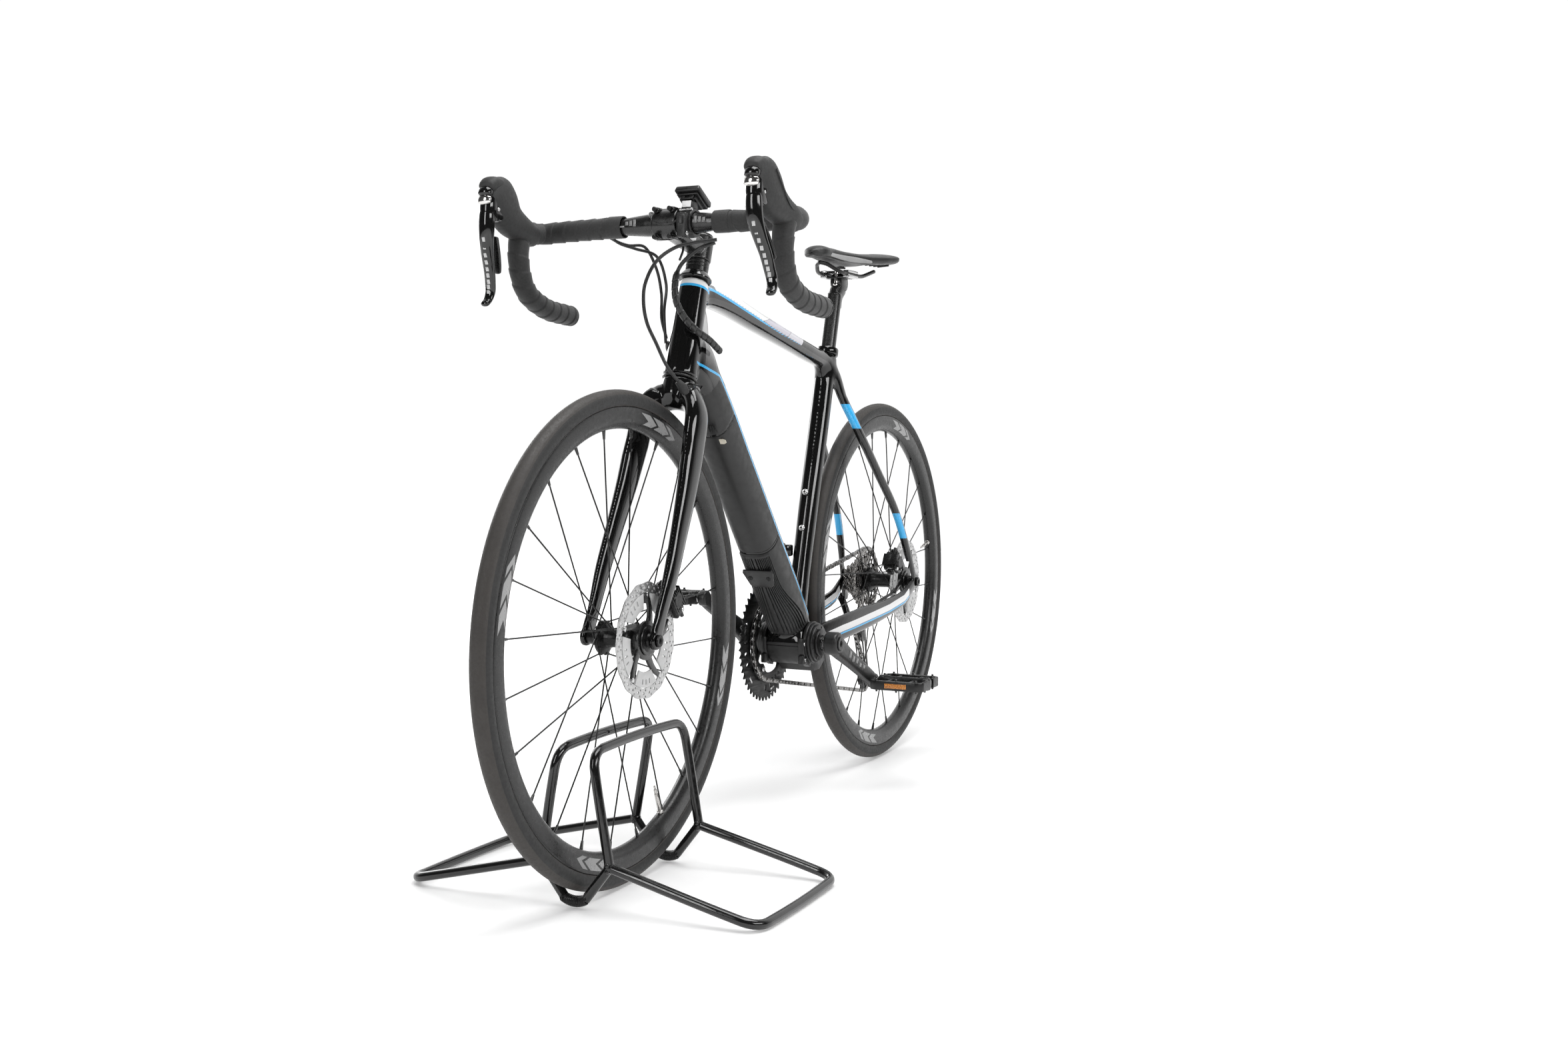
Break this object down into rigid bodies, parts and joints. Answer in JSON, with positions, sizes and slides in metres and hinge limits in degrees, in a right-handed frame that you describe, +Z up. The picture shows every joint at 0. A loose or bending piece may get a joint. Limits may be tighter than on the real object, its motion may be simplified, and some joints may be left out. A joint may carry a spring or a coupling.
{
  "type": "bicycle on stand",
  "caption": "Drop-bar electric road bicycle with disc brakes, standing with its front wheel between the hoops of a sprung wire floor stand.",
  "frame": {"origin": "on the floor, midway between the two wheel axles, in the bicycle's middle plane", "axes": "+X forward, +Y the rider's left, +Z up"},
  "size_m": [1.661, 0.5426, 0.9793],
  "materials": {
    "stand_paint": "gloss black paint, lightly scuffed",
    "spring_steel": "black coated spring wire",
    "frame_paint": "gloss black carbon with white and blue panels",
    "tyre": "matte black rubber with a taupe sidewall",
    "rim": "satin dark grey",
    "spokes": "black",
    "rotor": "satin steel braking track",
    "black_alloy": "black anodised",
    "bright_steel": "bright satin steel",
    "hood_rubber": "matte textured rubber",
    "bar_tape": "matte black cushioned tape",
    "carbon": "satin carbon weave",
    "cover_plastic": "matte dark grey",
    "cable_jacket": "black jacket",
    "saddle_cover": "black synthetic leather with grey panels"
  },
  "bodies": {
    "stand_base": {"stand_left": "stand_paint", "stand_spring_front": "spring_steel", "stand_spring_rear": "spring_steel"},
    "stand_swing": {"stand_right": "stand_paint"},
    "front_end": {"fork": "frame_paint", "front_axle": "black_alloy", "front_caliper": "black_alloy", "front_brake_pads": "bright_steel", "headset_spacers": "black_alloy", "stem": "black_alloy", "handlebar": "carbon", "bar_tape_left": "bar_tape", "bar_tape_right": "bar_tape", "hood_left": "hood_rubber", "hood_right": "hood_rubber", "display_mount": "cover_plastic", "display": "cover_plastic", "front_brake_hose": "cable_jacket"},
    "front_wheel": {"front_tyre": "tyre", "front_rim": "rim", "front_hub_spokes": "spokes", "front_rotor": "rotor"},
    "bracket_left": {"lever_bracket_left": "black_alloy"},
    "blade_left": {"brake_lever_left": "black_alloy"},
    "paddle_left": {"shift_paddle_left": "black_alloy"},
    "bracket_right": {"lever_bracket_right": "black_alloy"},
    "blade_right": {"brake_lever_right": "black_alloy"},
    "paddle_right": {"shift_paddle_right": "black_alloy"},
    "main_frame": {"frame": "frame_paint", "battery_cover": "cover_plastic", "motor_cover": "cover_plastic", "gearbox_case": "cover_plastic", "rear_axle": "black_alloy", "rear_caliper": "black_alloy", "rear_brake_pads": "bright_steel", "chain": "bright_steel", "shift_cables": "cable_jacket", "hose_bundle": "cable_jacket"},
    "rear_wheel": {"rear_tyre": "tyre", "rear_rim": "rim", "rear_hub_spokes": "spokes", "rear_rotor": "rotor"},
    "cogs": {"cassette": "bright_steel"},
    "crankset": {"crank_left": "black_alloy", "crank_right": "black_alloy", "chainrings": "black_alloy"},
    "left_pedal": {"pedal_left": "cover_plastic"},
    "right_pedal": {"pedal_right": "cover_plastic"},
    "front_mech": {"front_derailleur": "black_alloy"},
    "mech_links": {"rear_derailleur_links": "black_alloy"},
    "mech_knuckle": {"rear_derailleur_knuckle": "black_alloy"},
    "mech_cage": {"rear_derailleur_cage": "black_alloy"},
    "guide_wheel": {"jockey_guide": "cover_plastic"},
    "tension_wheel": {"jockey_tension": "cover_plastic"},
    "post": {"seatpost": "carbon"},
    "clamp": {"rail_clamp": "bright_steel"},
    "saddle": {"saddle_cover": "saddle_cover", "saddle_shell": "cover_plastic", "saddle_rails": "black_alloy"}
  },
  "joints": [
    {"name": "stand_open", "type": "hinge", "parent": "stand_base", "child": "stand_swing", "pos_m": [0.486, 0, 0.009], "axis": [1, 0, 0], "range_deg": [0, 15], "deforming": ["stand_spring_front", "stand_spring_rear"]},
    {"name": "lift_out", "type": "slide", "parent": "stand_base", "child": "front_end", "axis": [0, 0, 1], "range_m": [0, 0.25]},
    {"name": "steering", "type": "hinge", "parent": "front_end", "child": "main_frame", "pos_m": [0.3198, 0, 0.699], "axis": [-0.3088, 0, 0.9511], "range_deg": [-35, 35], "deforming": ["shift_cables", "hose_bundle"]},
    {"name": "front_wheel_spin", "type": "hinge", "parent": "front_end", "child": "front_wheel", "pos_m": [0.4915, 0, 0.339], "axis": [0, 1, 0], "continuous": true},
    {"name": "brake_pull_left", "type": "hinge", "parent": "front_end", "child": "bracket_left", "pos_m": [0.49, 0.205, 0.928], "axis": [0, 1, 0], "range_deg": [0, 18], "stiffness_Nm_per_rad": 1, "springref_deg": -14.32},
    {"name": "shift_swing_left", "type": "hinge", "parent": "bracket_left", "child": "blade_left", "pos_m": [0.49, 0.205, 0.928], "axis": [-1, 0, 0], "range_deg": [0, 12], "stiffness_Nm_per_rad": 0.6, "springref_deg": -14.32},
    {"name": "release_left", "type": "hinge", "parent": "blade_left", "child": "paddle_left", "pos_m": [0.49, 0.205, 0.928], "axis": [-1, 0, 0], "range_deg": [0, 10], "stiffness_Nm_per_rad": 0.4, "springref_deg": -14.32},
    {"name": "brake_pull_right", "type": "hinge", "parent": "front_end", "child": "bracket_right", "pos_m": [0.49, -0.205, 0.928], "axis": [0, 1, 0], "range_deg": [0, 18], "stiffness_Nm_per_rad": 1, "springref_deg": -14.32},
    {"name": "shift_swing_right", "type": "hinge", "parent": "bracket_right", "child": "blade_right", "pos_m": [0.49, -0.205, 0.928], "axis": [1, 0, 0], "range_deg": [0, 12], "stiffness_Nm_per_rad": 0.6, "springref_deg": -14.32},
    {"name": "release_right", "type": "hinge", "parent": "blade_right", "child": "paddle_right", "pos_m": [0.49, -0.205, 0.928], "axis": [1, 0, 0], "range_deg": [0, 10], "stiffness_Nm_per_rad": 0.4, "springref_deg": -14.32},
    {"name": "rear_wheel_spin", "type": "hinge", "parent": "main_frame", "child": "rear_wheel", "pos_m": [-0.4915, 0, 0.339], "axis": [0, 1, 0], "continuous": true},
    {"name": "crank_turn", "type": "hinge", "parent": "main_frame", "child": "crankset", "pos_m": [-0.08, 0, 0.269], "axis": [0, 1, 0], "continuous": true, "deforming": ["chain"]},
    {"name": "cassette_turn", "type": "hinge", "parent": "main_frame", "child": "cogs", "pos_m": [-0.4915, 0, 0.339], "axis": [0, 1, 0], "continuous": true},
    {"name": "pedal_turn_left", "type": "hinge", "parent": "crankset", "child": "left_pedal", "pos_m": [-0.23136, 0.148, 0.18626], "axis": [0, 1, 0], "continuous": true},
    {"name": "pedal_turn_right", "type": "hinge", "parent": "crankset", "child": "right_pedal", "pos_m": [0.07136, -0.148, 0.35174], "axis": [0, 1, 0], "continuous": true},
    {"name": "front_mech_swing", "type": "hinge", "parent": "main_frame", "child": "front_mech", "pos_m": [-0.112, -0.036, 0.426], "axis": [-1, 0, 0], "range_deg": [0, 8], "stiffness_Nm_per_rad": 1, "springref_deg": -14.32},
    {"name": "rear_mech_swing", "type": "hinge", "parent": "main_frame", "child": "mech_links", "pos_m": [-0.499, -0.084, 0.302], "axis": [-0.8511, 0, -0.525], "range_deg": [0, 28], "deforming": ["chain"]},
    {"name": "rear_mech_parallel", "type": "hinge", "parent": "mech_links", "child": "mech_knuckle", "pos_m": [-0.466, -0.05, 0.25], "axis": [-0.8511, 0, -0.525], "range_deg": [-28, 0]},
    {"name": "cage_swing", "type": "hinge", "parent": "mech_knuckle", "child": "mech_cage", "pos_m": [-0.4656, -0.038, 0.2432], "axis": [0, 1, 0], "range_deg": [-12, 25], "stiffness_Nm_per_rad": 4, "deforming": ["chain"]},
    {"name": "guide_wheel_turn", "type": "hinge", "parent": "mech_cage", "child": "guide_wheel", "pos_m": [-0.4656, -0.03, 0.2432], "axis": [0, 1, 0], "continuous": true},
    {"name": "tension_wheel_turn", "type": "hinge", "parent": "mech_cage", "child": "tension_wheel", "pos_m": [-0.4867, -0.03, 0.146], "axis": [0, 1, 0], "continuous": true},
    {"name": "post_height", "type": "slide", "parent": "main_frame", "child": "post", "axis": [-0.2916, 0, 0.9565], "range_m": [-0.06, 0.05]},
    {"name": "saddle_tilt", "type": "hinge", "parent": "post", "child": "clamp", "pos_m": [-0.284, 0, 0.889], "axis": [0, 1, 0], "range_deg": [-8, 8]},
    {"name": "saddle_fore_aft", "type": "slide", "parent": "clamp", "child": "saddle", "axis": [1, 0, 0], "range_m": [-0.015, 0.015]}
  ],
  "couplings": [
    {"joint": "cassette_turn", "follows": "crank_turn", "ratio": 1.1333},
    {"joint": "guide_wheel_turn", "follows": "crank_turn", "ratio": -3.0909},
    {"joint": "tension_wheel_turn", "follows": "crank_turn", "ratio": 3.0909},
    {"joint": "rear_mech_parallel", "follows": "rear_mech_swing", "ratio": -1}
  ]
}
